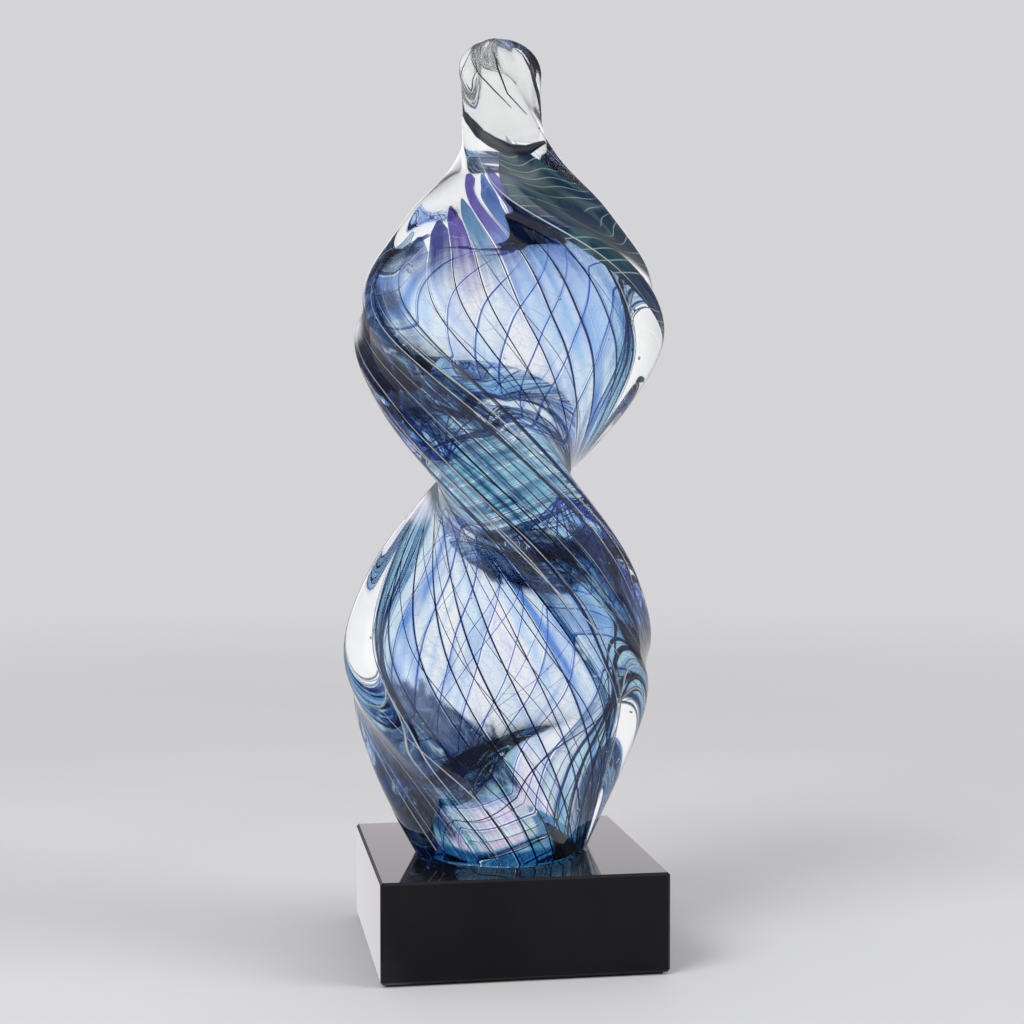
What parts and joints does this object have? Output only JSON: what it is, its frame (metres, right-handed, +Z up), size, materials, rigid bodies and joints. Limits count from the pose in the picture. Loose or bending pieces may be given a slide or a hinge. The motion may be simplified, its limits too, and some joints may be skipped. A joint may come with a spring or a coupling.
{
  "type": "twisted glass sculpture",
  "caption": "Free-standing twisted slab of clear art glass with spiral colour canes inside, drawn up to a rounded tip and glued to a black glass block, for display on a shelf or desk.",
  "frame": {"origin": "middle of the underside of the felt pad, on the surface that the part stands on", "axes": "+Z up along the twist axis, +X and +Y along the sides of the square block, -Y towards the pictured side"},
  "size_m": [0.1046, 0.0931, 0.295],
  "materials": {
    "clear_glass": "fire polished clear glass",
    "core_glass": "clear glass with a faint opal cloud",
    "stringer_glass": "dense dark blue glass thread",
    "opal_glass": "pale opal glass",
    "blue_glass": "transparent blue glass",
    "teal_glass": "dense teal glass with pale swirls",
    "violet_glass": "transparent violet glass",
    "black_glass": "polished opaque black glass",
    "felt": "short pile felt",
    "adhesive": "clear cured adhesive"
  },
  "bodies": {
    "root": {"base_block": "black_glass", "bond_film": "adhesive", "clear_casing": "clear_glass", "colour_bar_01": "teal_glass", "colour_bar_02": "teal_glass", "colour_bar_03": "opal_glass", "colour_bar_04": "blue_glass", "colour_bar_05": "opal_glass", "colour_bar_06": "violet_glass", "colour_bar_07": "blue_glass", "colour_bar_08": "opal_glass", "colour_bar_09": "blue_glass", "colour_bar_10": "teal_glass", "colour_bar_11": "teal_glass", "colour_bar_12": "teal_glass", "colour_bar_13": "teal_glass", "colour_bar_14": "teal_glass", "colour_bar_15": "blue_glass", "colour_bar_16": "opal_glass", "colour_bar_17": "opal_glass", "colour_bar_18": "blue_glass", "colour_bar_19": "violet_glass", "colour_bar_20": "opal_glass", "colour_bar_21": "blue_glass", "colour_bar_22": "teal_glass", "colour_bar_23": "teal_glass", "colour_bar_24": "teal_glass", "core_gather": "core_glass", "felt_pad": "felt", "stringer_01": "stringer_glass", "stringer_02": "stringer_glass", "stringer_03": "stringer_glass", "stringer_04": "stringer_glass", "stringer_05": "stringer_glass", "stringer_06": "stringer_glass", "stringer_07": "stringer_glass", "stringer_08": "stringer_glass", "stringer_09": "stringer_glass", "stringer_10": "stringer_glass", "stringer_11": "stringer_glass", "stringer_12": "stringer_glass", "stringer_13": "stringer_glass", "stringer_14": "stringer_glass", "stringer_15": "stringer_glass", "stringer_16": "stringer_glass", "stringer_17": "stringer_glass", "stringer_18": "stringer_glass", "stringer_19": "stringer_glass", "stringer_20": "stringer_glass", "stringer_21": "stringer_glass", "stringer_22": "stringer_glass", "stringer_23": "stringer_glass", "stringer_24": "stringer_glass"}
  },
  "joints": []
}
